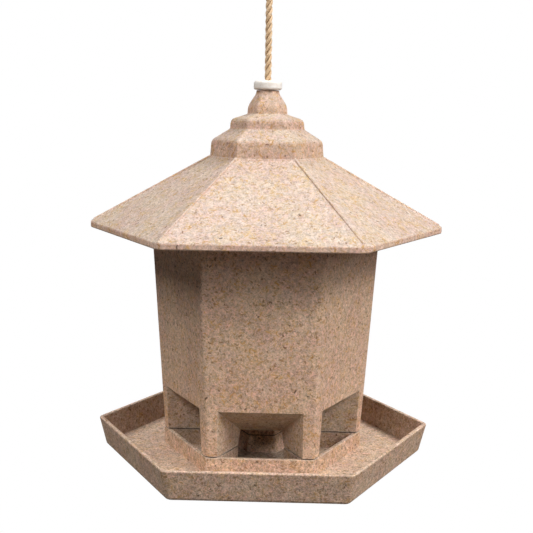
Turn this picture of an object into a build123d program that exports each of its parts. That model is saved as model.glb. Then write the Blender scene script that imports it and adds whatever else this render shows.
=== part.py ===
"""Hanging bird feeder, moulded in fibre-filled bioplastic.

A hexagonal tray carries a hexagonal seed hopper with six arched-in feeding
ports; a hexagonal roof with a stepped crown covers the hopper. One jute cord
runs up the middle: knotted under the tray, out through a stopper in the roof's
boss, and knotted into a hanging loop at the top.

Frame: +Z up, origin at the bearing point of the hanging loop (the inside of
its top), hexagon corners on +X and -X, flat sides facing +Y and -Y. Heights
below are given from the tray's underside and turned into Z by LOOP_HEIGHT.
"""

from math import cos, radians, sin, sqrt, tan
import os

from build123d import *

os.makedirs("parts", exist_ok=True)

# ------------------------------------------------------------------ sizes, mm
LOOP_HEIGHT = 352.0  # tray underside to the inside of the hanging loop's top
COS30 = cos(radians(30))
GAP = 0.3  # between pieces that rest on each other and come apart

# tray
TRAY_FOOT_R = 95.4  # corner radius of the sharp hexagon at the underside
TRAY_RIM_R = 99.9
TRAY_HEIGHT = 17.8
TRAY_WALL = 2.6
TRAY_FLOOR = 2.5
TRAY_CORNER = 4.5
COLLAR_R = 59.85
COLLAR_WALL = 2.0
COLLAR_TOP = 12.25
COLLAR_EDGE = 0.45  # rounding of its outer top edge
STAND_LAND = 0.45  # the inset land on each stand, which the leg rests on
STAND_PLUG = 4.2  # the locating plug above the land
HUB_FOOT_R = 17.5
HUB_SHOULDER_R = 11.8
HUB_SHOULDER = 28.0
HUB_TIP_R = 4.8
HUB_TOP = 32.0
HUB_CEILING = 25.8
ROPE_HOLE_R = 2.4

# hopper
HOPPER_FOOT = 13.0
HOPPER_TOP = 153.45
HOPPER_R0 = 59.55  # corner radius at the foot
HOPPER_FLARE = 0.0637  # growth of that radius per mm of height
HOPPER_WALL = 2.3
HOPPER_CORNER = 2.8
PORT_SKIN = 2.2
PORT_HALF = 23.6  # half width of a port's mouth at the foot
PORT_TURN = 0.5417  # how fast the cheeks close in towards the middle
PORT_DRAFT = 0.0379
PORT_CROWN = 39.3  # height of the port's arch at the outer face
PORT_PITCH = 0.786  # slope of the arch, down towards the middle
PORT_EDGE = 0.55  # rounding of the ports' outer edges

# roof
EAVE_FOOT = 133.66
EAVE_TOP = 136.96
EAVE_R = 103.9
EAVE_CORNER = 6.5
EAVE_NOSE = 0.9  # softening of the eave's top and bottom edges
ROOF_PITCH = 0.5573  # rise per mm of corner radius
ROOF_SKIN = 2.2
CROWN_FOOT_R = 33.2
CROWN_FOOT = 175.93
BOSS_TOP = 214.25
STEM_BORE_R = 4.2
SKIRT_R = 64.55
SKIRT_WALL = 2.0
SKIRT_FOOT = 145.0
BEAD_R = 0.8

# stopper
FLANGE_R = 8.1
FLANGE_FOOT = 214.55
FLANGE_TOP = 219.72
STEM_R = 3.9
STEM_FOOT = 205.6
STOPPER_BORE_R = 2.35

# rope
ROPE_R = 2.0
LOWER_KNOT_R = 6.9
LOWER_KNOT_ROUND = 3.0
LOWER_KNOT_FOOT = 14.5
TAIL_END = 4.5
UPPER_KNOT_R = 8.4
UPPER_KNOT_ROUND = 3.8
UPPER_KNOT_FOOT = 310.5
UPPER_KNOT_TOP = 325.0
LOOP_ROUTE = [  # x and height of the loop's route, out of the knot and back
    (-2.1, 325.0),
    (-3.4, 332.0),
    (-9.0, 341.2),
    (-9.0, 348.7),
    (-3.73, 354.0),
    (3.73, 354.0),
    (9.0, 348.7),
    (9.0, 341.2),
    (3.4, 332.0),
    (2.1, 325.0),
]


def at(height):
    """Z of a height above the tray's underside."""
    return height - LOOP_HEIGHT


def hopper_r(height):
    """Corner radius of the hopper's outer hexagon."""
    return HOPPER_R0 + HOPPER_FLARE * (height - HOPPER_FOOT)


def port_half(apothem, height):
    """Half width of a port at a distance from the axis and a height."""
    return PORT_HALF - (51.6 - apothem) * PORT_TURN - PORT_DRAFT * (height - 12.6)


def port_arch(apothem):
    """Height of a port's arch at a distance from the axis."""
    return PORT_CROWN + (apothem - 53.1) * PORT_PITCH


def port_plane(index, apothem):
    """Upright plane square to one of the six faces; its y is up from z = 0."""
    turn = radians(60 * index + 30)
    out = (cos(turn), sin(turn), 0)
    return Plane(
        origin=(apothem * out[0], apothem * out[1], 0),
        x_dir=(-out[1], out[0], 0),
        z_dir=out,
    )


def rounded(profile, steps=3):
    """Turns (radius, height, blend) points into a profile with rounded bends."""
    points = []
    for i, (r, h, blend) in enumerate(profile):
        if not blend or i in (0, len(profile) - 1):
            points.append((r, h))
            continue
        here = Vector(r, h)
        back = Vector(*profile[i - 1][:2]) - here
        ahead = Vector(*profile[i + 1][:2]) - here
        reach = min(blend, 0.46 * back.length, 0.46 * ahead.length)
        a = here + back.normalized() * reach
        b = here + ahead.normalized() * reach
        for k in range(steps + 1):
            t = k / steps
            p = a * (1 - t) ** 2 + here * (2 * t * (1 - t)) + b * t**2
            points.append((p.X, p.Y))
    return points


# The plan of a leg's outside, for the leg on +X: outer corner, the two edges of
# the neighbouring ports' mouths, and the two inner ends of its cheeks.
def leg_plan(inset):
    """Corners of the leg's plan at the foot, moved in by inset."""
    u, v = Vector(cos(radians(30)), sin(radians(30))), Vector(sin(radians(30)), -cos(radians(30)))
    mouth_a, end_a = 51.57, 32.4
    mouth = u * mouth_a + v * port_half(mouth_a, 12.6)
    end = u * end_a + v * port_half(end_a, 12.6)
    corner = Vector(HOPPER_R0, 0)
    # inset every side line, then intersect neighbours
    loop = [corner, mouth, end, Vector(end.X, -end.Y), Vector(mouth.X, -mouth.Y)]
    lines = []
    for i, p in enumerate(loop):
        q = loop[(i + 1) % len(loop)]
        d = (q - p).normalized()
        n = Vector(-d.Y, d.X)
        lines.append((p + n * inset, d))
    out = []
    for i in range(len(lines)):
        (p, d), (q, e) = lines[i - 1], lines[i]
        s = ((q.X - p.X) * e.Y - (q.Y - p.Y) * e.X) / (d.X * e.Y - d.Y * e.X)
        out.append((p.X + d.X * s, p.Y + d.Y * s))
    return out


def collar_top_edges(piece):
    """The outer edges round the top of the collar."""
    level = piece.edges().filter_by_position(Axis.Z, at(COLLAR_TOP) - 0.01, at(COLLAR_TOP) + 0.01)
    outer = []
    for e in level:
        p = e.position_at(0.5)
        if max(p.X * cos(radians(60 * k + 30)) + p.Y * sin(radians(60 * k + 30)) for k in range(6)) > COLLAR_R * COS30 - 1.0:
            outer.append(e)
    return outer


def mouth_edges(piece):
    """The edges of the six ports in the hopper's outer faces."""
    found = []
    for e in piece.edges():
        p = e.position_at(0.5)
        h = p.Z + LOOP_HEIGHT
        if not HOPPER_FOOT + 1 < h < PORT_CROWN + 4:
            continue
        for k in range(6):
            turn = radians(60 * k + 30)
            far = p.X * cos(turn) + p.Y * sin(turn)
            side = abs(p.Y * cos(turn) - p.X * sin(turn))
            if abs(far - hopper_r(h) * COS30) < 0.02 and side < PORT_HALF + 1.5:
                found.append(e)
    return found


# ----------------------------------------------------------------------- tray
with BuildPart() as tray:
    # dish: outer shape with softened corners and foot
    for h, r in ((0, TRAY_FOOT_R), (TRAY_HEIGHT, TRAY_RIM_R)):
        with BuildSketch(Plane.XY.offset(at(h))):
            RegularPolygon(radius=r, side_count=6)
    loft(ruled=True)
    upright = tray.edges().filter_by(lambda e: abs(e.tangent_at(0.5).Z) > 0.5)
    fillet(upright, TRAY_CORNER)
    fillet(tray.faces().sort_by(Axis.Z)[0].edges(), 2.6)
    # its inside
    grow = (TRAY_RIM_R - TRAY_FOOT_R) / TRAY_HEIGHT
    for h in (TRAY_FLOOR, TRAY_HEIGHT + 1):
        with BuildSketch(Plane.XY.offset(at(h))) as inside:
            RegularPolygon(radius=TRAY_FOOT_R + grow * h - TRAY_WALL / COS30, side_count=6)
            fillet(inside.vertices(), 2.2)
    loft(ruled=True, mode=Mode.SUBTRACT)
    fillet(tray.faces().sort_by(Axis.Z)[-1].edges(), 0.75)
    # collar that dams the seed under the ports
    with BuildSketch(Plane.XY.offset(at(TRAY_FLOOR - 0.6))) as collar:
        RegularPolygon(radius=COLLAR_R, side_count=6)
        fillet(collar.vertices(), HOPPER_CORNER)
        RegularPolygon(radius=COLLAR_R - COLLAR_WALL / COS30, side_count=6, mode=Mode.SUBTRACT)
    extrude(amount=COLLAR_TOP - TRAY_FLOOR + 0.6)
    crest = collar_top_edges(tray)
    fillet(crest, COLLAR_EDGE)
    # six stands for the hopper's legs
    for k in range(6):
        stand = Plane.XY.rotated((0, 0, 60 * k))
        with BuildSketch(stand.offset(at(TRAY_FLOOR - 0.6))) as base:
            with BuildLine():
                Polyline(*leg_plan(0.0), close=True)
            make_face()
            fillet(base.vertices().sort_by(Axis((0, 0, 0), stand.x_dir))[-1], 2.6)
        extrude(amount=COLLAR_TOP - TRAY_FLOOR + 0.6)
        with BuildSketch(stand.offset(at(COLLAR_TOP))):
            with BuildLine():
                Polyline(*leg_plan(0.9), close=True)
            make_face()
        extrude(amount=STAND_LAND)
        with BuildSketch(stand.offset(at(COLLAR_TOP + STAND_LAND))):
            with BuildLine():
                Polyline(*leg_plan(PORT_SKIN + 0.55), close=True)
            make_face()
        extrude(amount=STAND_PLUG, taper=4)
        with BuildSketch(stand.offset(at(0))):
            with BuildLine():
                Polyline(*leg_plan(2.1), close=True)
            make_face()
        extrude(amount=COLLAR_TOP - 2.2, mode=Mode.SUBTRACT)
    # hub: sheds the seed outwards and takes the rope
    for h, r in ((TRAY_FLOOR - 0.6, HUB_FOOT_R), (HUB_SHOULDER, HUB_SHOULDER_R), (HUB_TOP, HUB_TIP_R)):
        with BuildSketch(Plane.XY.offset(at(h))) as hub:
            RegularPolygon(radius=r, side_count=6)
            fillet(hub.vertices(), 1.2)
    loft(ruled=True)
    for h, r in ((0, HUB_FOOT_R - 2.3), (HUB_CEILING, HUB_SHOULDER_R - 2.2)):
        with BuildSketch(Plane.XY.offset(at(h))) as hollow:
            RegularPolygon(radius=r, side_count=6)
            fillet(hollow.vertices(), 1.0)
    loft(ruled=True, mode=Mode.SUBTRACT)
    with BuildSketch(Plane.XY.offset(at(HUB_CEILING - 1))):
        Circle(ROPE_HOLE_R)
    extrude(amount=HUB_TOP - HUB_CEILING + 2, mode=Mode.SUBTRACT)

tray.part.label = "tray"
export_step(tray.part, "parts/tray.step")

# --------------------------------------------------------------------- hopper
# The space inside it, less the skins that carry the six ports.
with BuildPart() as seed_space:
    for h in (HOPPER_FOOT - 1, HOPPER_TOP + 1):
        with BuildSketch(Plane.XY.offset(at(h))) as ring:
            RegularPolygon(radius=hopper_r(h) - HOPPER_WALL / COS30, side_count=6)
            fillet(ring.vertices(), 1.0)
    loft(ruled=True)

side_skin = PORT_SKIN * sqrt(1 + PORT_TURN**2)
roof_skin = PORT_SKIN * sqrt(1 + PORT_PITCH**2)
port_skins = []
for k in range(6):
    with BuildPart() as skin:
        for a in (60.0, 26.0):
            low, high = 10.0, port_arch(a) + roof_skin
            with BuildSketch(port_plane(k, a)):
                with BuildLine():
                    Polyline(
                        (-port_half(a, low) - side_skin, at(low)),
                        (port_half(a, low) + side_skin, at(low)),
                        (port_half(a, high) + side_skin, at(high)),
                        (-port_half(a, high) - side_skin, at(high)),
                        close=True,
                    )
                make_face()
        loft(ruled=True)
        # its inner end leans in as it rises, and is open: that is the window
        out = port_plane(k, 0).z_dir
        lean = Plane(
            origin=(out.X * 32.4, out.Y * 32.4, at(12.6)),
            z_dir=(out.X * 9.1, out.Y * 9.1, 1.7),
        )
        split(bisect_by=lean, keep=Keep.TOP)
    port_skins.append(skin.part)

with BuildPart() as hopper:
    for h in (HOPPER_FOOT, HOPPER_TOP):
        with BuildSketch(Plane.XY.offset(at(h))):
            RegularPolygon(radius=hopper_r(h), side_count=6)
    loft(ruled=True)
    fillet(hopper.edges().filter_by(lambda e: abs(e.tangent_at(0.5).Z) > 0.5), HOPPER_CORNER)
    # hollow it, keeping the skins of the ports
    add(seed_space.part - port_skins, mode=Mode.SUBTRACT)
    # sink the six ports through those skins
    for k in range(6):
        for a in (60.0, 26.0):
            low, high = 10.0, port_arch(a)
            with BuildSketch(port_plane(k, a)):
                with BuildLine():
                    Polyline(
                        (-port_half(a, low), at(low)),
                        (port_half(a, low), at(low)),
                        (port_half(a, high), at(high)),
                        (-port_half(a, high), at(high)),
                        close=True,
                    )
                make_face()
        loft(ruled=True, mode=Mode.SUBTRACT)
    fillet(mouth_edges(hopper), PORT_EDGE)

hopper.part.label = "hopper"
export_step(hopper.part, "parts/hopper.step")

# ----------------------------------------------------------------------- roof
slope_drop = ROOF_SKIN * sqrt(1 + (ROOF_PITCH / COS30) ** 2)


def underside(radius):
    """Height of the roof's underside at a corner radius."""
    return EAVE_TOP + (EAVE_R - radius) * ROOF_PITCH - slope_drop


# Thin raised beads along the six hips, cut off just inside the eave's corners.
with BuildPart() as hip_beads:
    for k in range(6):
        turn = radians(60 * k)
        foot = Vector(EAVE_R * cos(turn), EAVE_R * sin(turn), at(EAVE_TOP - 0.28))
        head = Vector(
            (CROWN_FOOT_R - 1) * cos(turn),
            (CROWN_FOOT_R - 1) * sin(turn),
            at(EAVE_TOP - 0.28 + (EAVE_R - CROWN_FOOT_R + 1) * ROOF_PITCH),
        )
        with BuildSketch(Plane(origin=foot, z_dir=head - foot)):
            Circle(BEAD_R)
        extrude(amount=(head - foot).length)
    with BuildSketch(Plane.XY.offset(at(EAVE_FOOT))) as bead_end:
        RegularPolygon(radius=EAVE_R - 1.5, side_count=6)
        fillet(bead_end.vertices(), EAVE_CORNER)
    extrude(amount=80, mode=Mode.INTERSECT)

with BuildPart() as roof:
    # thin roof slopes up to the crown
    for h, r in ((EAVE_FOOT, EAVE_R), (EAVE_TOP, EAVE_R), (CROWN_FOOT + 0.5, CROWN_FOOT_R - 0.9)):
        with BuildSketch(Plane.XY.offset(at(h))):
            RegularPolygon(radius=r, side_count=6)
    loft(ruled=True)
    # rounded corners and nose of the eave
    with BuildSketch(Plane.XY.offset(at(EAVE_FOOT))) as eave:
        RegularPolygon(radius=EAVE_R, side_count=6)
        fillet(eave.vertices(), EAVE_CORNER)
    extrude(amount=80, mode=Mode.INTERSECT)
    fillet(roof.faces().sort_by(Axis.Z)[0].edges(), EAVE_NOSE)
    rim = roof.edges().filter_by_position(Axis.Z, at(EAVE_TOP) - 0.2, at(EAVE_TOP) + 1.2)
    fillet(rim.filter_by(lambda e: abs(e.tangent_at(0.5).Z) < 0.5), EAVE_NOSE)
    # beads along the six hips
    add(hip_beads.part)
    # bead round the crown's foot
    for h, r in ((CROWN_FOOT - 0.9, CROWN_FOOT_R + 1.5), (CROWN_FOOT + 0.5, CROWN_FOOT_R + 0.5)):
        with BuildSketch(Plane.XY.offset(at(h))) as foot_bead:
            RegularPolygon(radius=r, side_count=6)
            fillet(foot_bead.vertices(), 1.0)
    loft(ruled=True)
    # crown: two steps and a bell-shaped boss, all six-sided
    crown = rounded(
        [
            (CROWN_FOOT_R, CROWN_FOOT, 0),
            (32.4, 185.7, 1.9),
            (21.75, 192.3, 0.8),
            (21.3, 197.8, 2.4),
            (11.75, 200.8, 0.7),
            (11.6, 204.2, 1.3),
            (10.75, 206.6, 1.2),
            (7.0, 212.2, 1.0),
            (6.6, BOSS_TOP, 0),
        ]
    )
    for r, h in crown:
        with BuildSketch(Plane.XY.offset(at(h))) as ring:
            RegularPolygon(radius=r, side_count=6)
            fillet(ring.vertices(), min(1.6, 0.17 * r))
    loft(ruled=True)
    # hollow underneath
    for r, h in (
        (EAVE_R - 2.7, EAVE_FOOT - 1),
        (EAVE_R - 2.7, underside(EAVE_R - 2.7)),
        (30.6, underside(30.6)),
        (29.9, 184.0),
        (19.3, 190.6),
        (18.9, 195.6),
        (9.3, 198.8),
        (8.9, 203.2),
        (5.2, 208.0),
    ):
        with BuildSketch(Plane.XY.offset(at(h))):
            RegularPolygon(radius=r, side_count=6)
    loft(ruled=True, mode=Mode.SUBTRACT)
    # bore of the boss
    with BuildSketch(Plane.XY.offset(at(203))):
        Circle(STEM_BORE_R)
    extrude(amount=BOSS_TOP - 202, mode=Mode.SUBTRACT)
    # skirt that centres the roof in the hopper's mouth
    with BuildSketch(Plane.XY.offset(at(SKIRT_FOOT))) as skirt:
        RegularPolygon(radius=SKIRT_R, side_count=6)
        fillet(skirt.vertices(), 1.6)
        RegularPolygon(radius=SKIRT_R - SKIRT_WALL / COS30, side_count=6, mode=Mode.SUBTRACT)
    extrude(amount=underside(SKIRT_R) + 1.2 - SKIRT_FOOT)

roof.part.label = "roof"
export_step(roof.part, "parts/roof.step")

# -------------------------------------------------------------------- stopper
with BuildPart() as rope_stopper:
    with BuildSketch(Plane.XY.offset(at(FLANGE_FOOT))):
        Circle(FLANGE_R)
    extrude(amount=FLANGE_TOP - FLANGE_FOOT)
    fillet(rope_stopper.edges().sort_by(Axis.Z)[-1], 1.7)
    fillet(rope_stopper.edges().sort_by(Axis.Z)[0], 1.3)
    with BuildSketch(Plane.XY.offset(at(STEM_FOOT))):
        Circle(STEM_R)
    extrude(amount=FLANGE_FOOT - STEM_FOOT + 1)
    chamfer(rope_stopper.edges().sort_by(Axis.Z)[0], 0.5)
    with BuildSketch(Plane.XY.offset(at(STEM_FOOT - 1))):
        Circle(STOPPER_BORE_R)
    extrude(amount=FLANGE_TOP - STEM_FOOT + 2, mode=Mode.SUBTRACT)
    fillet(rope_stopper.edges().group_by(Axis.Z)[-1].sort_by(SortBy.RADIUS)[0], 0.6)

rope_stopper.part.label = "rope_stopper"
export_step(rope_stopper.part, "parts/rope_stopper.step")

# ----------------------------------------------------------------------- rope
# A straight taut run on the axis, from the seat of the lower knot to the
# underside of the upper knot.
with BuildPart() as hanging_rope:
    with BuildSketch(Plane.XY.offset(at(HUB_CEILING))):
        Circle(ROPE_R)
    extrude(amount=UPPER_KNOT_FOOT - HUB_CEILING)

hanging_rope.part.label = "hanging_rope"
export_step(hanging_rope.part, "parts/hanging_rope.step")

# The stopper knot under the hub, with the rope's short cut end below it.
with BuildPart() as lower_knot:
    with BuildSketch(Plane.XY.offset(at(LOWER_KNOT_FOOT))):
        Circle(LOWER_KNOT_R)
    extrude(amount=HUB_CEILING - LOWER_KNOT_FOOT)
    fillet(lower_knot.edges().filter_by(GeomType.CIRCLE), LOWER_KNOT_ROUND)
    with BuildSketch(Plane.XY.offset(at(TAIL_END))):
        Circle(ROPE_R)
    extrude(amount=LOWER_KNOT_FOOT - TAIL_END + 1)

lower_knot.part.label = "lower_knot"
export_step(lower_knot.part, "parts/lower_knot.step")

# The knot that closes the loop.
with BuildPart() as upper_knot:
    with BuildSketch(Plane.XY.offset(at(UPPER_KNOT_FOOT))):
        Circle(UPPER_KNOT_R)
    extrude(amount=UPPER_KNOT_TOP - UPPER_KNOT_FOOT)
    fillet(upper_knot.edges().filter_by(GeomType.CIRCLE), UPPER_KNOT_ROUND)

upper_knot.part.label = "upper_knot"
export_step(upper_knot.part, "parts/upper_knot.step")

# The loop: out of the knot, round the hook and back into the knot.
route = [Vector(x, 0, at(h)) for x, h in LOOP_ROUTE]
bends = []
for i in range(1, len(route) - 1):
    back, ahead = route[i] - route[i - 1], route[i + 1] - route[i]
    half = radians(back.get_angle(ahead)) / 2
    bends.append(0.45 * min(back.length, ahead.length) / tan(half))
print("loop bend radii, mm:", [round(b, 1) for b in bends])
with BuildPart() as hanging_loop:
    with BuildLine() as centre:
        FilletPolyline(*route, radius=bends)
    with BuildSketch(Plane(origin=route[0], z_dir=route[1] - route[0])):
        Circle(ROPE_R)
    sweep(path=centre.wires()[0])
    # trim both ends level with the knot's top
    split(bisect_by=Plane.XY.offset(at(UPPER_KNOT_TOP)), keep=Keep.TOP)

length = centre.wires()[0].length
print("loop length", round(length, 1), "volume ratio", round(hanging_loop.part.volume / (length * 3.14159265 * ROPE_R**2), 4))
hanging_loop.part.label = "hanging_loop"
export_step(hanging_loop.part, "parts/hanging_loop.step")
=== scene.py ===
import math
import random

import bpy
import numpy as np
from mathutils import Matrix, Vector

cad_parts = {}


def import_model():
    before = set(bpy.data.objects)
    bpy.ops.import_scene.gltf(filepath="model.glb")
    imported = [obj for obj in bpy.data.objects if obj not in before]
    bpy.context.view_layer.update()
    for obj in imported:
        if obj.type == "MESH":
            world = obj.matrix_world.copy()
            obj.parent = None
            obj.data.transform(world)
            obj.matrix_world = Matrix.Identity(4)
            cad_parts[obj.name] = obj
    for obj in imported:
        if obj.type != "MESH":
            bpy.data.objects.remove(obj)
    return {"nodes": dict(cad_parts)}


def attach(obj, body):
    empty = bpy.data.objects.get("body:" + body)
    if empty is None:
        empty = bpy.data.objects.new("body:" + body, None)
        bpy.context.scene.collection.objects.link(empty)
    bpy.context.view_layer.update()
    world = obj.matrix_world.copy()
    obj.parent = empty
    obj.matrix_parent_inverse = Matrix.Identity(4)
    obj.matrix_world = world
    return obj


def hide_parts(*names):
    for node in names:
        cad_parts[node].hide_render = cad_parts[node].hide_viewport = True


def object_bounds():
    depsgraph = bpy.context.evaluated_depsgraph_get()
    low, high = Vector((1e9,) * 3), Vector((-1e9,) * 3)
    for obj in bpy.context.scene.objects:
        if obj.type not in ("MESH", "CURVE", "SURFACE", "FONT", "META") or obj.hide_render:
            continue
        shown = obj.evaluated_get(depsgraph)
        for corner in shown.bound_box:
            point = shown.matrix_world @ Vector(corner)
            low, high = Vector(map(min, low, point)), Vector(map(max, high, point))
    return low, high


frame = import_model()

CAD_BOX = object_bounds()
MM = 0.001
LOOP_HEIGHT = 352.0
BODY = "tray_and_rope"


def at(h):
    """Row-frame Z, in metres, of a height in mm above the tray's underside."""
    return (h - LOOP_HEIGHT) * MM


# ---------------------------------------------------------------- camera
def make_camera():
    turn = math.radians(1.252)          # the feeder hangs turned a little from square
    yaw, pitch, roll = (math.radians(a) for a in (0.096, 9.266, -0.954))
    ex = Vector((math.cos(yaw), -math.sin(yaw), 0))
    ey = Vector((math.sin(yaw), math.cos(yaw), 0))
    ez = Vector((0, 0, 1))
    forward = ey * math.cos(pitch) - ez * math.sin(pitch)
    up0 = ey * math.sin(pitch) + ez * math.cos(pitch)
    right = ex * math.cos(roll) - up0 * math.sin(roll)
    up = ex * math.sin(roll) + up0 * math.cos(roll)
    spin = Matrix.Rotation(turn, 3, "Z")
    right, up, forward = spin @ right, spin @ up, spin @ forward
    place = spin @ Vector((0, -0.54142, 0))
    place.z = at(200.316)
    data = bpy.data.cameras.new("camera")
    cam = bpy.data.objects.new("camera", data)
    bpy.context.scene.collection.objects.link(cam)
    data.sensor_width = 36
    data.lens = 62.68
    data.clip_start, data.clip_end = 0.01, 50
    m = Matrix((
        (right.x, up.x, -forward.x, place.x),
        (right.y, up.y, -forward.y, place.y),
        (right.z, up.z, -forward.z, place.z),
        (0, 0, 0, 1),
    ))
    cam.matrix_world = m
    bpy.context.scene.camera = cam
    return cam


make_camera()
bpy.context.scene.view_settings.view_transform = "Standard"


# ---------------------------------------------------------------- the jute cord
ROPE_R = 2.0 * MM
HELIX_R = 1.04 * MM        # the three strands' distance from the cord's middle
STRAND_R = 0.96 * MM
LAY = 13.0 * MM            # one full turn of the three strands
YARN = 5.2 * MM            # one full turn of the yarn in a strand, the other way

ROPE_ROUTE = [(0, 0, at(25.8)), (0, 0, at(168.15)), (0, 0, at(310.5))]
LOOP_ROUTE = [
    (x * MM, 0, at(h))
    for x, h in (
        (-2.1, 325.0),
        (-3.4, 332.0),
        (-9.0, 341.2),
        (-9.0, 348.7),
        (-3.73, 354.0),
        (3.73, 354.0),
        (9.0, 348.7),
        (9.0, 341.2),
        (3.4, 332.0),
        (2.1, 325.0),
    )
]


def about(centre, points):
    """Control points in mm about a height on the axis, as the row frame's metres."""
    return [(x * MM, y * MM, at(centre + z)) for x, y, z in points]


# Both knots are tied for real: an overhand knot under the hub, its cut end
# hanging in the hollow, and an overhand knot on the doubled cord above.
LOWER_KNOT = about(19.0, [
    (0.4, -0.3, -14.5), (0.3, -0.2, -11.8), (0, 0, -9.4), (0, 0, -7.4), (-0.2, -0.2, -5.1), (-0.6, -0.6, -2.5),
    (-1.8, -1.4, -0.4), (-2.1, -3.4, 1.4), (-0.6, -4.6, 3.2), (1.8, -4.4, 4.5), (3.9, -2.7, 4.8), (4.6, -0.2, 4.1),
    (3.7, 2.0, 2.8), (1.6, 2.8, 1.4), (-0.7, 2.8, 0.2), (-3.0, 2.6, -1.1), (-4.5, 0.9, -2.5), (-4.6, -1.7, -3.4),
    (-3.0, -3.9, -3.5), (-0.7, -4.8, -2.6), (1.4, -4.2, -1.0), (2.1, -2.3, 0.8), (0.8, -0.8, 2.6), (0.1, -0.1, 5.0),
    (0, 0, 6.8),
])
UPPER_KNOT_A = about(317.3, [
    (0, 0, -6.8), (-0.3, 0.5, -5.4), (-0.9, 1.3, -3.7), (-1.9, 2.5, -2.0), (-3.0, 3.8, -0.1), (-4.0, 3.7, 2.4),
    (-4.7, 2.2, 4.4), (-5.3, 0.1, 5.8), (-5.2, -2.3, 6.8), (-3.4, -4.2, 7.3), (-0.8, -4.7, 7.0), (1.7, -4.8, 6.3),
    (4.1, -4.6, 5.5), (5.7, -2.9, 4.2), (5.6, -0.8, 2.7), (4.6, 1.2, 1.4), (3.5, 2.9, -0.2), (2.1, 4.0, -2.0),
    (0.5, 5.2, -3.8), (-1.7, 5.1, -5.1), (-3.9, 3.6, -5.4), (-4.9, 1.2, -4.5), (-4.3, -0.8, -3.0), (-3.5, -2.8, -1.5),
    (-2.5, -3.9, 0.6), (-1.7, -3.2, 3.0), (-1.7, -1.3, 5.0), (-1.9, -0.2, 6.6), (-2.1, 0, 7.7),
])
UPPER_KNOT_B = about(317.3, [
    (2.1, 0, 7.7), (2.2, -0.4, 6.4), (2.0, -1.5, 4.2), (1.9, -3.1, 1.9), (0.9, -4.3, -0.3), (0.2, -3.7, -2.8),
    (1.3, -2.5, -4.9), (3.7, -1.5, -5.7), (6.2, -1.5, -4.9), (7.9, -2.3, -2.9), (7.7, -3.8, -0.7), (6.0, -5.2, 0.7),
    (4.0, -6.4, 1.8), (1.6, -7.0, 2.7), (-0.9, -7.0, 3.4), (-3.4, -6.6, 3.9), (-5.4, -4.7, 3.6), (-5.7, -2.2, 2.7),
    (-4.3, -0.2, 1.6), (-1.8, 0.1, 0.9), (0.6, -0.1, -0.3), (2.9, -0.7, -1.4), (4.1, -3.0, -1.8), (4.6, -5.0, -3.5),
    (5.6, -6.6, -5.0), (6.6, -8.0, -6.1),
])


def smooth_line(name, points):
    """Points along the smooth line that the control points give."""
    data = bpy.data.curves.new(name, "CURVE")
    data.dimensions = "3D"
    data.resolution_u = 32
    line = data.splines.new("NURBS")
    line.points.add(len(points) - 1)
    for p, q in zip(line.points, points):
        p.co = (*q, 1)
    line.order_u = 3
    line.use_endpoint_u = True
    o = bpy.data.objects.new(name, data)
    mesh = bpy.data.meshes.new_from_object(o)
    out = np.array([v.co[:] for v in mesh.vertices])
    bpy.data.objects.remove(o)
    bpy.data.meshes.remove(mesh)
    bpy.data.curves.remove(data)
    return out


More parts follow.
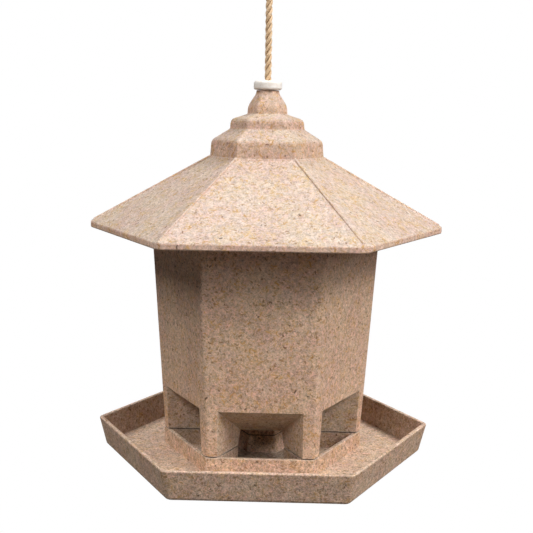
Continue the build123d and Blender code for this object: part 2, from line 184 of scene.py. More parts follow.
class Cordage:
    """The whole cord as one line from its lower cut end to its upper one, so that
    the strands run on unbroken from piece to piece."""

    def __init__(self, lines, step):
        marks, pts = [0.0], []
        for line in lines:
            gap = np.linalg.norm(np.diff(line, axis=0), axis=1)
            line = line[np.concatenate([[True], gap > 1e-9])]
            pts.append(line if not pts else line[1:])
            marks.append(marks[-1] + np.linalg.norm(np.diff(line, axis=0), axis=1).sum())
        pts = np.vstack(pts)
        along = np.concatenate([[0], np.cumsum(np.linalg.norm(np.diff(pts, axis=0), axis=1))])
        count = int(round(along[-1] / step))
        self.s = np.linspace(0, along[-1], count + 1)
        self.p = np.array([np.interp(self.s, along, pts[:, k]) for k in range(3)]).T
        self.cut = [int(round(m / along[-1] * count)) for m in marks]
        # tangents averaged over a short reach, then frames carried along
        pad = 3
        q = np.vstack([self.p[:1]] * pad + [self.p] + [self.p[-1:]] * pad)
        t = q[2 * pad:] - q[:-2 * pad]
        t /= np.linalg.norm(t, axis=1)[:, None]
        n = np.zeros_like(t)
        n[0] = np.cross((0, 1, 0), t[0])
        n[0] /= np.linalg.norm(n[0])
        for i in range(1, len(t)):
            v = n[i - 1] - t[i] * np.dot(n[i - 1], t[i])
            n[i] = v / np.linalg.norm(v)
        self.t, self.n, self.b = t, n, np.cross(t, n)
        self.strands = []
        for k in range(3):
            a = 2 * math.pi * (self.s / LAY + k / 3)
            # a little looseness: each strand swells and thins along its way
            swell = 1 + 0.035 * np.sin(self.s / (9.1 * MM) + 2.1 * k) + 0.025 * np.sin(self.s / (3.7 * MM) + 4.0 * k)
            c = self.p + (HELIX_R * swell)[:, None] * (np.cos(a)[:, None] * self.n + np.sin(a)[:, None] * self.b)
            self.strands.append((c, STRAND_R * (2 - swell)))

    def piece(self, name, ranges, sides=14, hairs=1.5, seed=1, bare=(), frayed=()):
        """Mesh of the strands over index ranges, with loose fibres standing off them."""
        rng = np.random.RandomState(seed)
        verts, faces, lay, deep = [], [], [], []
        ring_a = np.linspace(0, 2 * math.pi, sides, endpoint=False)
        for lo, hi in ranges:
            for c, rad in self.strands:
                t = np.gradient(c, axis=0)
                t /= np.linalg.norm(t, axis=1)[:, None]
                n = self.n - t * np.sum(self.n * t, axis=1)[:, None]
                n /= np.linalg.norm(n, axis=1)[:, None]
                b = np.cross(t, n)
                base = len(verts)
                tint = rng.rand()
                for i in range(lo, hi + 1):
                    turn = -2 * math.pi * self.s[i] / YARN
                    for a in ring_a:
                        # shallow yarn ridges that wind against the cord's own turn
                        r = rad[i] * (1 + 0.045 * math.cos(4 * (a - turn)))
                        verts.append(c[i] + r * (math.cos(a) * n[i] + math.sin(a) * b[i]))
                        lay.append((math.cos(a - turn) * 0.96, math.sin(a - turn) * 0.96, self.s[i] / MM + 40 * tint))
                        deep.append(np.linalg.norm(verts[-1] - self.p[i]) / ROPE_R)
                for i in range(hi - lo):
                    for j in range(sides):
                        k = (j + 1) % sides
                        faces.append((base + i * sides + j, base + i * sides + k, base + (i + 1) * sides + k, base + (i + 1) * sides + j))
                # domed ends
                for end, at_i, way in ((0, lo, -1), (hi - lo, hi, 1)):
                    ring = [base + end * sides + j for j in range(sides)]
                    verts.append(c[at_i] + t[at_i] * way * rad[at_i] * 0.35)
                    lay.append((0, 0, self.s[at_i] / MM + 40 * tint))
                    deep.append(1.0)
                    tip = len(verts) - 1
                    for j in range(sides):
                        k = (j + 1) % sides
                        faces.append((ring[k], ring[j], tip) if way < 0 else (ring[j], ring[k], tip))
            # loose fibres
            length = (self.s[hi] - self.s[lo]) / MM
            for _ in range(int(length * hairs)):
                i = rng.randint(lo, hi)
                h = (self.p[i][2] - at(0)) / MM
                if any(a < h < z for a, z in bare) and np.hypot(*self.p[i][:2]) < 1 * MM:
                    continue
                a = rng.rand() * 2 * math.pi
                out = math.cos(a) * self.n[i] + math.sin(a) * self.b[i]
                side = np.cross(self.t[i], out)
                way = (1 if rng.rand() < 0.5 else -1)
                run = self.t[i] * way * rng.uniform(0.55, 1.0) + side * rng.uniform(-0.7, 0.7)
                size = rng.uniform(0.9, 3.2) * MM
                lift = rng.uniform(0.15, 0.85) * rng.rand() ** 0.5
                self._hair(verts, faces, lay, deep, self.p[i] + out * ROPE_R * 0.86, out, run, size, lift, rng)
        for i, way in frayed:
            for _ in range(46):
                a, r = rng.rand() * 2 * math.pi, ROPE_R * 0.9 * math.sqrt(rng.rand())
                out = math.cos(a) * self.n[i] + math.sin(a) * self.b[i]
                self._hair(verts, faces, lay, deep, self.p[i] + out * r, out, self.t[i] * way, rng.uniform(0.8, 2.0) * MM, rng.uniform(0.0, 0.5), rng, 0.075)
        top = CAD_BOX[1][2] - 0.00003
        verts = [(v[0], v[1], min(v[2], top)) for v in verts]
        mesh = bpy.data.meshes.new(name)
        mesh.from_pydata(verts, [], faces)
        kept = mesh.attributes.new("lay", "FLOAT_VECTOR", "POINT")
        kept.data.foreach_set("vector", np.array(lay, dtype=np.float32).ravel())
        # each point's distance from the cord's middle, kept for the painted shade in the grooves
        shade = mesh.attributes.new("groove", "FLOAT", "POINT")
        shade.data.foreach_set("value", np.array(deep, dtype=np.float32))
        mesh.polygons.foreach_set("use_smooth", [True] * len(mesh.polygons))
        mesh.update()
        o = bpy.data.objects.new(name, mesh)
        bpy.context.scene.collection.objects.link(o)
        return o

    @staticmethod
    def _hair(verts, faces, lay, deep, root, out, run, size, lift, rng, thick=0.052):
        """One thin tapered fibre that curls away from the surface."""
        run = run / max(np.linalg.norm(run), 1e-9)
        curl = rng.uniform(-0.5, 0.5)
        across = np.cross(run, out)
        spots = []
        for k in range(5):
            u = k / 4
            spots.append(root + (run * u + out * lift * u * (1.35 - 0.55 * u) + across * curl * u * u) * size)
        base, seed = len(verts), rng.rand() * 60
        for k, p in enumerate(spots):
            d = spots[min(k + 1, 4)] - spots[max(k - 1, 0)]
            d /= np.linalg.norm(d)
            e1 = np.cross(d, out + 0.3 * across)
            e1 /= np.linalg.norm(e1)
            e2 = np.cross(d, e1)
            r = thick * MM * (1 - 0.7 * k / 4)
            for j in range(3):
                a = 2 * math.pi * j / 3
                verts.append(p + r * (math.cos(a) * e1 + math.sin(a) * e2))
                lay.append((0.9, 0.9, seed + k * 0.3))
                deep.append(1.0)
        for k in range(4):
            for j in range(3):
                m = (j + 1) % 3
                faces.append((base + k * 3 + j, base + k * 3 + m, base + (k + 1) * 3 + m, base + (k + 1) * 3 + j))
        faces.append((base + 2, base + 1, base))
        faces.append((base + 12, base + 13, base + 14))


ROPE_LINE = smooth_line("rope_line", ROPE_ROUTE)
LOOP_LINE = smooth_line("loop_line", LOOP_ROUTE)
whole = Cordage(
    [
        smooth_line("lower_knot_line", LOWER_KNOT),
        ROPE_LINE,
        smooth_line("upper_knot_line_a", UPPER_KNOT_A),
        LOOP_LINE,
        smooth_line("upper_knot_line_b", UPPER_KNOT_B),
    ],
    0.55 * MM,
)
cut = whole.cut
lower = whole.piece("jute_lower_knot", [(cut[0], cut[1])], seed=3, hairs=1.2, bare=[(24.0, 33.0)], frayed=[(cut[0], -1)])
rope = whole.piece("jute_rope", [(cut[1], cut[2])], seed=5, bare=[(24.0, 33.0), (204.0, 221.0), (306.0, 312.0)])
upper = whole.piece("jute_upper_knot", [(cut[2], cut[3]), (cut[4], cut[5])], seed=7, hairs=1.2, frayed=[(cut[5], 1)])
loop = whole.piece("jute_loop", [(cut[3], cut[4])], seed=9)
for piece, node in ((lower, "lower_knot"), (rope, "hanging_rope"), (upper, "upper_knot"), (loop, "hanging_loop")):
    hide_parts(node)
    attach(piece, BODY)


# ---------------------------------------------------------------- small node helpers
class Nodes:
    """Short hand for building a node tree."""

    def __init__(self, tree):
        self.t = tree

    def add(self, kind, **props):
        n = self.t.nodes.new(kind)
        for k, v in props.items():
            setattr(n, k, v)
        return n

    def put(self, socket, value):
        if isinstance(value, bpy.types.NodeSocket):
            self.t.links.new(value, socket)
        elif value is not None:
            socket.default_value = value

    def math(self, op, a, b=None, c=None, clamp=False):
        n = self.add("ShaderNodeMath", operation=op, use_clamp=clamp)
        for i, v in enumerate((a, b, c)):
            if v is not None:
                self.put(n.inputs[i], v)
        return n.outputs[0]

    def vec(self, op, a, b=None, scale=None):
        n = self.add("ShaderNodeVectorMath", operation=op)
        self.put(n.inputs[0], a)
        if b is not None:
            self.put(n.inputs[1], b)
        if scale is not None:
            self.put(n.inputs["Scale"], scale)
        return n.outputs["Value"] if op in ("DOT_PRODUCT", "LENGTH", "DISTANCE") else n.outputs["Vector"]

    def xyz(self, v):
        n = self.add("ShaderNodeSeparateXYZ")
        self.put(n.inputs[0], v)
        return n.outputs[0], n.outputs[1], n.outputs[2]

    def join(self, x=0.0, y=0.0, z=0.0):
        n = self.add("ShaderNodeCombineXYZ")
        for i, v in enumerate((x, y, z)):
            self.put(n.inputs[i], v)
        return n.outputs[0]

    def noise(self, v, scale, detail=2.0, rough=0.5, distort=0.0, dims="3D"):
        n = self.add("ShaderNodeTexNoise", noise_dimensions=dims)
        self.put(n.inputs["Vector"], v)
        n.inputs["Scale"].default_value = scale
        n.inputs["Detail"].default_value = detail
        n.inputs["Roughness"].default_value = rough
        n.inputs["Distortion"].default_value = distort
        return n.outputs["Fac"]

    def ramp(self, v, lo, hi, out_lo=0.0, out_hi=1.0, smooth=True):
        n = self.add("ShaderNodeMapRange", interpolation_type="SMOOTHSTEP" if smooth else "LINEAR")
        self.put(n.inputs["Value"], v)
        for name, val in (("From Min", lo), ("From Max", hi), ("To Min", out_lo), ("To Max", out_hi)):
            self.put(n.inputs[name], val)
        return n.outputs["Result"]

    def mix(self, f, a, b, blend="MIX"):
        n = self.add("ShaderNodeMix", data_type="RGBA", blend_type=blend)
        self.put(n.inputs["Factor"], f)
        for sock, v in ((n.inputs[6], a), (n.inputs[7], b)):
            self.put(sock, v if isinstance(v, bpy.types.NodeSocket) else (*v, 1.0))
        return n.outputs[2]

    def mixf(self, f, a, b):
        n = self.add("ShaderNodeMix", data_type="FLOAT")
        self.put(n.inputs["Factor"], f)
        self.put(n.inputs[2], a)
        self.put(n.inputs[3], b)
        return n.outputs[0]


# ---------------------------------------------------------------- moulded fibre composite
def fibre_group():
    """One scattered fibre per cell of a plane: random place, turn, length and bend."""
    g = bpy.data.node_groups.new("fibres", "ShaderNodeTree")
    face = g.interface
    face.new_socket("Plane", in_out="INPUT", socket_type="NodeSocketVector")
    for name, val in (("Cell", 3.0), ("Half length", 1.0), ("Half width", 0.2), ("Bend", 0.6), ("Share", 0.5), ("Seed", 0.0)):
        s = face.new_socket(name, in_out="INPUT", socket_type="NodeSocketFloat")
        s.default_value = val
    face.new_socket("Mask", in_out="OUTPUT", socket_type="NodeSocketFloat")
    face.new_socket("Random", in_out="OUTPUT", socket_type="NodeSocketFloat")
    n = Nodes(g)
    i = n.add("NodeGroupInput").outputs
    o = n.add("NodeGroupOutput")
    cell = i["Cell"]
    shift = n.join(n.math("MULTIPLY", i["Seed"], 17.31), n.math("MULTIPLY", i["Seed"], -9.77), 0.0)
    p = n.vec("ADD", n.vec("DIVIDE", i["Plane"], n.join(cell, cell, 1.0)), shift)
    v = n.add("ShaderNodeTexVoronoi", voronoi_dimensions="2D", feature="F1")
    v.inputs["Scale"].default_value = 1.0
    v.inputs["Randomness"].default_value = 1.0
    n.put(v.inputs["Vector"], p)
    d = n.vec("SUBTRACT", p, v.outputs["Position"])
    dx, dy, _ = n.xyz(d)
    w = n.add("ShaderNodeTexWhiteNoise", noise_dimensions="2D")
    n.put(w.inputs["Vector"], v.outputs["Position"])
    r1, r2, r3 = n.xyz(w.outputs["Color"])
    c1, c2, _ = n.xyz(v.outputs["Color"])
    ang = n.math("MULTIPLY", r1, 2 * math.pi)
    co, si = n.math("COSINE", ang), n.math("SINE", ang)
    x = n.math("ADD", n.math("MULTIPLY", dx, co), n.math("MULTIPLY", dy, si))
    y = n.math("SUBTRACT", n.math("MULTIPLY", dy, co), n.math("MULTIPLY", dx, si))
    x, y = n.math("MULTIPLY", x, cell), n.math("MULTIPLY", y, cell)
    half = n.math("MULTIPLY", i["Half length"], n.math("ADD", 0.45, n.math("MULTIPLY", r2, 0.9)))
    xn = n.math("DIVIDE", x, half)
    # bend: a parabola, its depth random both ways
    bow = n.math("MULTIPLY", n.math("MULTIPLY", n.math("SUBTRACT", c1, 0.5), 2.0), n.math("MULTIPLY", i["Bend"], half))
    y = n.math("ADD", y, n.math("MULTIPLY", bow, n.math("MULTIPLY", xn, xn)))
    wide = n.math("MULTIPLY", i["Half width"], n.math("ADD", 0.6, n.math("MULTIPLY", c2, 0.8)))
    yn = n.math("DIVIDE", y, wide)
    e = n.math("ADD", n.math("POWER", n.math("ABSOLUTE", xn), 4.0), n.math("MULTIPLY", yn, yn))
    body = n.ramp(e, 1.25, 0.45)
    here = n.math("LESS_THAN", r3, i["Share"])
    n.put(o.inputs["Mask"], n.math("MULTIPLY", body, here))
    n.put(o.inputs["Random"], n.math("FRACT", n.math("MULTIPLY", n.math("ADD", r1, c2), 7.13)))
    return g


def plane_group():
    """Flat coordinates in mm in the plane of the facet, for six-sided pieces: no stretching on any face."""
    g = bpy.data.node_groups.new("facet_plane", "ShaderNodeTree")
    g.interface.new_socket("Plane", in_out="OUTPUT", socket_type="NodeSocketVector")
    g.interface.new_socket("Space", in_out="OUTPUT", socket_type="NodeSocketVector")
    n = Nodes(g)
    o = n.add("NodeGroupOutput")
    tc = n.add("ShaderNodeTexCoord")
    p = n.vec("SCALE", tc.outputs["Object"], scale=1000.0)
    geo = n.add("ShaderNodeNewGeometry")
    nx, ny, nz = n.xyz(geo.outputs["True Normal"])
    px, py, pz = n.xyz(p)
    phi = n.math("ARCTAN2", ny, nx)
    k = n.math("ROUND", n.math("DIVIDE", n.math("SUBTRACT", phi, math.pi / 6), math.pi / 3))
    q = n.math("ADD", n.math("MULTIPLY", k, math.pi / 3), math.pi / 6)
    co, si = n.math("COSINE", q), n.math("SINE", q)
    u = n.math("SUBTRACT", n.math("MULTIPLY", py, co), n.math("MULTIPLY", px, si))
    a = n.math("ADD", n.math("MULTIPLY", px, co), n.math("MULTIPLY", py, si))
    steep = n.math("ABSOLUTE", nz)
    sign = n.math("SIGN", nz)
    slope_v = n.math("SUBTRACT", n.math("MULTIPLY", pz, 0.54), n.math("MULTIPLY", n.math("MULTIPLY", a, 0.84), sign))
    is_slope = n.math("GREATER_THAN", steep, 0.35)
    is_flat = n.math("GREATER_THAN", steep, 0.93)
    v = n.mixf(is_slope, pz, slope_v)
    x = n.mixf(is_flat, u, px)
    y = n.mixf(is_flat, v, py)
    shift = n.math("ADD", n.math("MULTIPLY", k, 57.3), n.math("MULTIPLY", n.math("ADD", is_slope, is_flat), 131.7))
    n.put(o.inputs["Plane"], n.join(n.math("ADD", x, shift), n.math("ADD", y, n.math("MULTIPLY", shift, 1.7)), 0.0))
    n.put(o.inputs["Space"], p)
    return g


FIBRES = fibre_group()
PLANE = plane_group()


def composite(name, body=(0.625, 0.406, 0.289), ochre=1.0, specks=1.0, top_highlight=0.5, lift=(0.885, 1.03, 1.15), contrast=1.0, fine=1.0, curl=1.0, seed=0.0, seam=None):
    """Moulded straw-filled bioplastic: pinkish tan skin with a painted highlight where it faces up,
    mottled, with ochre straw curls, pale fibres and brown and near-black flecks."""
    m = bpy.data.materials.new(name)
    m.use_nodes = True
    t = m.node_tree
    t.nodes.clear()
    n = Nodes(t)
    out = n.add("ShaderNodeOutputMaterial")
    bsdf = n.add("ShaderNodeBsdfPrincipled")
    t.links.new(bsdf.outputs[0], out.inputs[0])
    pl = n.add("ShaderNodeGroup", node_tree=PLANE)
    plane, raw = pl.outputs["Plane"], pl.outputs["Space"]
    space = n.vec("ADD", raw, (seed * 31.7, seed * -17.3, seed * 11.9))

    def fibres(cell, half, wide, bend, share, s):
        f = n.add("ShaderNodeGroup", node_tree=FIBRES)
        n.put(f.inputs["Plane"], plane)
        for key, val in (("Cell", cell), ("Half length", half), ("Half width", wide), ("Bend", bend), ("Share", share), ("Seed", s + seed)):
            f.inputs[key].default_value = val
        return f.outputs["Mask"], f.outputs["Random"]

    def c(r, g, b):
        """A colour relative to the body colour."""
        return (body[0] * r, body[1] * g, body[2] * b)

    cloud = n.noise(space, 0.045, 2.0, 0.55)
    patch = n.noise(space, 0.15, 3.0, 0.6, 0.6)
    blotch = n.noise(space, 0.40, 3.0, 0.6, 0.5)
    mottle = n.noise(space, 0.95, 3.0, 0.7, 0.3)
    grain = n.noise(space, 2.3, 2.0, 0.65)

    # skin: slow drift between rosy and straw, then mottling in value
    col = n.mix(n.ramp(cloud, 0.38, 0.62), c(0.97, 0.93, 0.97), c(1.02, 1.05, 1.03))
    rosy = n.noise(space, 0.24, 2.0, 0.55, 0.7)
    col = n.mix(n.ramp(rosy, 0.52, 0.66, 0.0, 0.6), col, c(1.03, 0.92, 0.99))
    col = n.mix(n.ramp(rosy, 0.47, 0.34, 0.0, 0.5), col, c(0.97, 1.02, 0.95))
    col = n.mix(n.ramp(patch, 0.50, 0.68, 0.0, 0.65), col, c(1.07, 1.14, 1.24))
    col = n.mix(n.ramp(patch, 0.46, 0.30, 0.0, 0.50 * ochre), col, c(1.03, 0.98, 0.78))
    value = n.math("ADD", n.math("MULTIPLY", n.math("SUBTRACT", blotch, 0.5), 1.25 * contrast), 1.02)
    value = n.math("ADD", value, n.math("MULTIPLY", n.math("SUBTRACT", mottle, 0.5), 1.8 * contrast * fine))
    value = n.math("ADD", value, n.math("MULTIPLY", n.math("SUBTRACT", grain, 0.5), 1.1 * contrast * fine))
    col = n.mix(1.0, col, n.join(value, value, value), "MULTIPLY")

    # ochre straw, gathered in places: soft smudges and curled fibres
    gather = n.ramp(patch, 0.36, 0.56, 1.0, 0.35)
    smudge = n.ramp(n.noise(space, 0.50, 2.0, 0.55, 2.0), 0.52, 0.64)
    col = n.mix(n.math("MULTIPLY", n.math("MULTIPLY", smudge, gather), 0.50 * ochre, clamp=True), col, c(1.02, 0.88, 0.50))
    f2, k2 = fibres(3.2 * curl, 1.5 * curl, 0.34 * curl, 0.95, 0.66, 2.1)
    col = n.mix(n.math("MULTIPLY", n.math("MULTIPLY", f2, gather), 0.80 * min(ochre, 1.2), clamp=True), col, n.mix(k2, c(0.80, 0.56, 0.22), c(1.02, 0.84, 0.40)))
    f3, k3 = fibres(1.75 * curl, 0.72 * curl, 0.21 * curl, 0.8, 0.55, 3.7)
    col = n.mix(n.math("MULTIPLY", n.math("MULTIPLY", f3, gather), 0.70 * min(ochre, 1.2), clamp=True), col, n.mix(k3, c(0.70, 0.50, 0.22), c(0.98, 0.84, 0.46)))
    # pale fibres lying in the skin
    f1, k1 = fibres(2.4, 1.15, 0.17, 0.5, 0.50, 1.3)
    col = n.mix(n.math("MULTIPLY", f1, 0.55), col, c(1.24, 1.36, 1.50))
    # brown specks, dense and fine, then fewer and darker ones
    crowd = n.ramp(n.noise(space, 0.22, 2.0, 0.55, 0.8), 0.40, 0.58, 0.35, 1.0)
    f4, k4 = fibres(1.9, 0.62, 0.30, 0.5, 0.62 * specks, 4.9)
    col = n.mix(n.math("MULTIPLY", n.math("MULTIPLY", f4, crowd), 0.66), col, n.mix(k4, c(0.46, 0.40, 0.26), c(0.74, 0.66, 0.46)))
    f6, k6 = fibres(3.4, 0.95, 0.42, 0.6, 0.52 * specks, 7.7)
    col = n.mix(n.math("MULTIPLY", n.math("MULTIPLY", f6, crowd), 0.74), col, n.mix(k6, c(0.34, 0.26, 0.16), c(0.62, 0.42, 0.22)))
    f5, k5 = fibres(10.0, 0.95, 0.44, 0.6, 0.34 * specks, 6.1)
    col = n.mix(n.math("MULTIPLY", f5, 0.80), col, n.mix(k5, c(0.12, 0.10, 0.09), c(0.40, 0.24, 0.13)))
    # upward faces are painted paler, a painted highlight for the light from above; edges are painted paler too, partly
    # rubbed wear and partly a painted highlight
    geo = n.add("ShaderNodeNewGeometry")
    _, _, nz = n.xyz(geo.outputs["True Normal"])
    up = n.math("MULTIPLY", n.ramp(nz, 0.25, 0.85), top_highlight)
    col = n.mix(up, col, n.mix(1.0, col, lift, "MULTIPLY"))
    bev = n.add("ShaderNodeBevel", samples=6)
    bev.inputs["Radius"].default_value = 0.7 * MM
    edge = n.ramp(n.vec("DOT_PRODUCT", bev.outputs[0], geo.outputs["Normal"]), 0.995, 0.93)
    edge = n.math("MULTIPLY", edge, n.ramp(blotch, 0.30, 0.60, 0.25, 1.0))
    # edges painted paler: partly rubbed wear, partly a painted highlight along their rounding
    col = n.mix(n.math("MULTIPLY", edge, 0.42), col, c(1.22, 1.62, 2.05))
    # radius from the upright axis, height over the tray's underside, and how far a face looks outward
    x_mm, y_mm, z_mm = n.xyz(raw)
    up_mm = n.math("ADD", z_mm, LOOP_HEIGHT)
    radial = n.join(x_mm, y_mm, 0.0)
    radius = n.vec("LENGTH", radial)
    outward = n.vec("DOT_PRODUCT", n.vec("NORMALIZE", radial), geo.outputs["True Normal"])
    if name.endswith("tray"):
        # inside the collar it is painted darker: painted shade in the recess round the hub
        painted_well_shade = n.math("MULTIPLY", n.ramp(radius, 51.8, 50.5), n.ramp(outward, 0.6, 0.2))
        painted_well_shade = n.math("MULTIPLY", painted_well_shade, n.ramp(up_mm, 2.0, 2.4))
        col = n.mix(painted_well_shade, col, n.mix(1.0, col, (0.72, 0.72, 0.72), "MULTIPLY"))
        # the rim's wall that faces the middle is painted darker: painted shade where less light reaches it
        painted_inner_wall_shade = n.math("MULTIPLY", n.ramp(outward, -0.35, -0.6), n.ramp(radius, 70.0, 72.0))
        col = n.mix(painted_inner_wall_shade, col, n.mix(1.0, col, (0.70, 0.74, 0.77), "MULTIPLY"))
    if name.endswith("hopper"):
        # the ports' cheeks, ceilings and the chamber behind them are painted darker than the outside: painted shade
        # where less light gets in
        painted_port_shade = n.math("MULTIPLY", n.ramp(outward, 0.84, 0.66), n.ramp(up_mm, 50.0, 44.0))
        col = n.mix(painted_port_shade, col, n.mix(1.0, col, (0.78, 0.85, 0.88), "MULTIPLY"))
        painted_chamber_shade = n.math("MULTIPLY", n.ramp(outward, -0.1, -0.4), n.ramp(up_mm, 60.0, 50.0))
        col = n.mix(painted_chamber_shade, col, n.mix(1.0, col, (0.55, 0.56, 0.57), "MULTIPLY"))
        painted_ceiling_shade = n.math("MULTIPLY", n.ramp(nz, -0.15, -0.4), n.ramp(up_mm, 50.0, 46.0))
        col = n.mix(painted_ceiling_shade, col, n.mix(1.0, col, (0.84, 0.93, 0.96), "MULTIPLY"))
    if name.endswith("roof"):
        # the eave's narrow upright band is painted paler: a painted highlight
        band = n.math("MULTIPLY", n.ramp(n.math("ABSOLUTE", nz), 0.45, 0.3), n.ramp(up_mm, 143.0, 139.0))
        col = n.mix(band, col, n.mix(1.0, col, (1.14, 1.14, 1.16), "MULTIPLY"))
    if seam:
        # grime and shade caught between the stands and the hopper's legs
        low, high, floor_only = seam
        band = n.math("MULTIPLY", n.ramp(up_mm, low - 0.04, low + 0.04), n.ramp(up_mm, high + 0.04, high - 0.04))
        band = n.math("MULTIPLY", band, n.ramp(radius, 72.0, 71.0))
        if floor_only:
            band = n.math("MULTIPLY", band, n.ramp(nz, -0.3, -0.6))
        col = n.mix(n.math("MULTIPLY", band, 0.90), col, (0.03, 0.018, 0.012))
    n.put(bsdf.inputs["Base Color"], col)

    rough = n.ramp(mottle, 0.3, 0.7, 0.66, 0.52)
    rough = n.math("SUBTRACT", rough, n.math("MULTIPLY", n.math("ADD", f2, f4), 0.07))
    rough = n.math("SUBTRACT", rough, n.math("MULTIPLY", edge, 0.08))
    n.put(bsdf.inputs["Roughness"], rough)
    bsdf.inputs["Specular IOR Level"].default_value = 0.42
    height = n.math("MULTIPLY", n.math("ADD", n.math("ADD", mottle, n.math("MULTIPLY", grain, 0.45)), n.math("MULTIPLY", blotch, 0.6)), 0.4)
    height = n.math("ADD", height, n.math("MULTIPLY", n.math("ADD", f1, f2), 0.12))
    height = n.math("SUBTRACT", height, n.math("MULTIPLY", n.math("ADD", f4, n.math("ADD", f5, f6)), 0.12))
    bump = n.add("ShaderNodeBump")
    bump.inputs["Strength"].default_value = 0.85
    bump.inputs["Distance"].default_value = 0.00040
    n.put(bump.inputs["Height"], height)
    n.put(bsdf.inputs["Normal"], bump.outputs[0])
    return m


def stopper_plastic():
    """Off-white satin plastic with a faint mould swirl and handling marks."""
    m = bpy.data.materials.new("stopper_plastic")
    m.use_nodes = True
    t = m.node_tree
    t.nodes.clear()
    n = Nodes(t)
    out = n.add("ShaderNodeOutputMaterial")
    bsdf = n.add("ShaderNodeBsdfPrincipled")
    t.links.new(bsdf.outputs[0], out.inputs[0])
    tc = n.add("ShaderNodeTexCoord")
    p = n.vec("SCALE", tc.outputs["Object"], scale=1000.0)
    cloud = n.noise(p, 0.35, 3.0, 0.55, 1.2)
    fine = n.noise(p, 2.4, 3.0, 0.6)
    x, y, z = n.xyz(p)
    rings = n.noise(n.join(n.math("MULTIPLY", n.math("SQRT", n.math("ADD", n.math("MULTIPLY", x, x), n.math("MULTIPLY", y, y))), 3.0), n.math("MULTIPLY", z, 3.0), 0.0), 1.0, 2.0, 0.5)
    col = n.mix(n.ramp(cloud, 0.35, 0.65), (0.88, 0.80, 0.72), (0.95, 0.90, 0.84))
    col = n.mix(n.ramp(fine, 0.56, 0.74, 0.0, 0.30), col, (0.60, 0.52, 0.43))
    col = n.mix(n.ramp(rings, 0.55, 0.75, 0.0, 0.18), col, (0.66, 0.58, 0.49))
    geo = n.add("ShaderNodeNewGeometry")
    # edges painted paler: a painted highlight along the rounded edges
    bev = n.add("ShaderNodeBevel", samples=4)
    bev.inputs["Radius"].default_value = 0.5 * MM
    edge = n.ramp(n.vec("DOT_PRODUCT", bev.outputs[0], geo.outputs["Normal"]), 0.995, 0.93)
    col = n.mix(n.math("MULTIPLY", edge, 0.3), col, (0.93, 0.90, 0.86))
    n.put(bsdf.inputs["Base Color"], col)
    n.put(bsdf.inputs["Roughness"], n.ramp(fine, 0.3, 0.7, 0.36, 0.52))
    bsdf.inputs["Specular IOR Level"].default_value = 0.5
    bsdf.inputs["Subsurface Weight"].default_value = 0.0
    bump = n.add("ShaderNodeBump")
    bump.inputs["Strength"].default_value = 0.25
    bump.inputs["Distance"].default_value = 0.00015
    n.put(bump.inputs["Height"], n.math("ADD", fine, n.math("MULTIPLY", rings, 0.7)))
    n.put(bsdf.inputs["Normal"], bump.outputs[0])
    return m


def jute():
    """Natural jute yarn: fine fibres running along each strand, gold to brown, dry and dull."""
    m = bpy.data.materials.new("jute")
    m.use_nodes = True
    t = m.node_tree
    t.nodes.clear()
    n = Nodes(t)
    out = n.add("ShaderNodeOutputMaterial")
    bsdf = n.add("ShaderNodeBsdfPrincipled")
    t.links.new(bsdf.outputs[0], out.inputs[0])
    a = n.add("ShaderNodeAttribute", attribute_name="lay")
    lay = a.outputs["Vector"]
    x, y, z = n.xyz(lay)
    streak = n.noise(n.join(n.math("MULTIPLY", x, 4.2), n.math("MULTIPLY", y, 4.2), n.math("MULTIPLY", z, 0.35)), 1.0, 3.0, 0.6)
    fine = n.noise(n.join(n.math("MULTIPLY", x, 11.0), n.math("MULTIPLY", y, 11.0), n.math("MULTIPLY", z, 0.9)), 1.0, 2.0, 0.6)
    slub = n.noise(n.join(x, y, n.math("MULTIPLY", z, 0.28)), 1.0, 2.0, 0.5)
    tc = n.add("ShaderNodeTexCoord")
    speck = n.noise(n.vec("SCALE", tc.outputs["Object"], scale=1000.0), 1.5, 2.0, 0.5)
    col = n.mix(n.ramp(streak, 0.38, 0.60), (0.64, 0.37, 0.165), (0.97, 0.70, 0.44))
    col = n.mix(n.ramp(fine, 0.47, 0.64, 0.0, 0.8), col, (0.98, 0.82, 0.62))
    col = n.mix(n.ramp(fine, 0.42, 0.28, 0.0, 0.6), col, (0.42, 0.22, 0.095))
    g = n.add("ShaderNodeAttribute", attribute_name="groove")
    # painted shade in the grooves between the strands: darker the nearer a point lies to the cord's middle
    col = n.mix(n.ramp(g.outputs["Fac"], 0.88, 0.66, 0.0, 0.72), col, (0.24, 0.115, 0.045))
    col = n.mix(n.ramp(slub, 0.35, 0.65, 0.30, 0.0), col, (0.66, 0.43, 0.21))
    col = n.mix(n.ramp(speck, 0.68, 0.80, 0.0, 0.6), col, (0.20, 0.105, 0.05))
    n.put(bsdf.inputs["Base Color"], col)
    n.put(bsdf.inputs["Roughness"], n.ramp(streak, 0.3, 0.7, 0.88, 0.70))
    bsdf.inputs["Specular IOR Level"].default_value = 0.25
    bsdf.inputs["Sheen Weight"].default_value = 0.18
    bsdf.inputs["Sheen Roughness"].default_value = 0.45
    bump = n.add("ShaderNodeBump")
    bump.inputs["Strength"].default_value = 0.8
    bump.inputs["Distance"].default_value = 0.00022
    n.put(bump.inputs["Height"], n.math("ADD", streak, n.math("MULTIPLY", fine, 0.7)))
    n.put(bsdf.inputs["Normal"], bump.outputs[0])
    return m


def paint(node, material):
    o = frame["nodes"][node]
    o.data.materials.clear()
    o.data.materials.append(material)


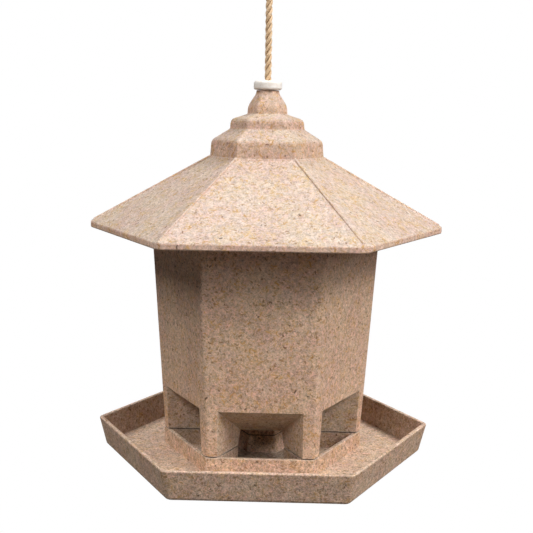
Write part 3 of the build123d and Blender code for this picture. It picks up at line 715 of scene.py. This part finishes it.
# each piece's upward faces get a painted highlight of the given strength and tint
paint("tray", composite("straw_composite_tray", body=(0.618, 0.424, 0.305), ochre=0.9, specks=1.2, top_highlight=0.6, lift=(1.06, 1.17, 1.26), contrast=1.25, seed=3.0, seam=(12.32, 12.78, False)))
paint("hopper", composite("straw_composite_hopper", body=(0.688, 0.468, 0.334), ochre=1.1, specks=1.15, top_highlight=0.2, contrast=1.0, fine=0.9, curl=1.15, seed=11.0, seam=(12.8, 13.3, True)))
paint("roof", composite("straw_composite_roof", body=(0.620, 0.426, 0.322), ochre=1.7, specks=0.6, top_highlight=0.95, lift=(0.89, 1.015, 1.10), contrast=0.95, fine=0.72, curl=1.4, seed=23.0))
paint("rope_stopper", stopper_plastic())
JUTE = jute()
for piece in (lower, rope, upper, loop):
    piece.data.materials.append(JUTE)


# ---------------------------------------------------------------- stage and light
def stage():
    bpy.ops.mesh.primitive_circle_add(vertices=96, radius=6.0, fill_type="NGON", location=(0, 0, at(-900)))
    floor = bpy.context.object
    floor.name = "floor"
    m = bpy.data.materials.new("floor")
    m.use_nodes = True
    t = m.node_tree
    t.nodes.clear()
    n = Nodes(t)
    e = n.add("ShaderNodeEmission")
    e.inputs[0].default_value = (1, 1, 1, 1)
    e.inputs[1].default_value = 1.0
    o = n.add("ShaderNodeOutputMaterial")
    t.links.new(e.outputs[0], o.inputs[0])
    floor.data.materials.append(m)
    floor.visible_diffuse = False
    floor.visible_glossy = False
    floor.visible_shadow = False
    floor.visible_transmission = False


def area(name, place, aim, size, power, color=(1, 1, 1)):
    d = bpy.data.lights.new(name, "AREA")
    d.shape = "DISK"
    d.size = size
    d.energy = power
    d.color = color
    o = bpy.data.objects.new(name, d)
    bpy.context.scene.collection.objects.link(o)
    o.location = place
    o.rotation_mode = "QUATERNION"
    o.rotation_quaternion = (Vector(aim) - Vector(place)).to_track_quat("-Z", "Y")
    return o


def world(up, down, side=None):
    w = bpy.data.worlds.new("world")
    bpy.context.scene.world = w
    w.use_nodes = True
    t = w.node_tree
    t.nodes.clear()
    n = Nodes(t)
    out = n.add("ShaderNodeOutputWorld")
    see = n.add("ShaderNodeBackground")
    see.inputs[0].default_value = (1, 1, 1, 1)
    see.inputs[1].default_value = 1.0
    lit = n.add("ShaderNodeBackground")
    tc = n.add("ShaderNodeTexCoord")
    _, _, z = n.xyz(tc.outputs["Generated"])
    n.put(lit.inputs[1], n.ramp(z, 0.05, -0.6, up, down))
    lit.inputs[0].default_value = (1, 0.985, 0.97, 1)
    path = n.add("ShaderNodeLightPath")
    mix = n.add("ShaderNodeMixShader")
    t.links.new(path.outputs["Is Camera Ray"], mix.inputs[0])
    t.links.new(lit.outputs[0], mix.inputs[1])
    t.links.new(see.outputs[0], mix.inputs[2])
    t.links.new(mix.outputs[0], out.inputs[0])


stage()
AIM = Vector((0, 0, at(110)))
LIGHTS = [  # name, azimuth round from the front, height above level, size, watts
    ("right_front", 60, 40, 0.55, 15.2),
    ("left_side", -90, 55, 0.55, 9.9),
    ("left_front", -30, 40, 0.55, 10.0),
    ("right_side", 90, 55, 0.55, 8.8),
    ("low_right", 42, 20, 0.55, 5.5),
    ("behind", 180, 56, 0.8, 6.0),
]
for name, around, above, size, power in LIGHTS:
    a, e = math.radians(around), math.radians(above)
    way = Vector((math.sin(a) * math.cos(e), -math.cos(a) * math.cos(e), math.sin(e)))
    area(name, AIM + 1.6 * way, AIM, size, power)
world(0.0, 0.18)
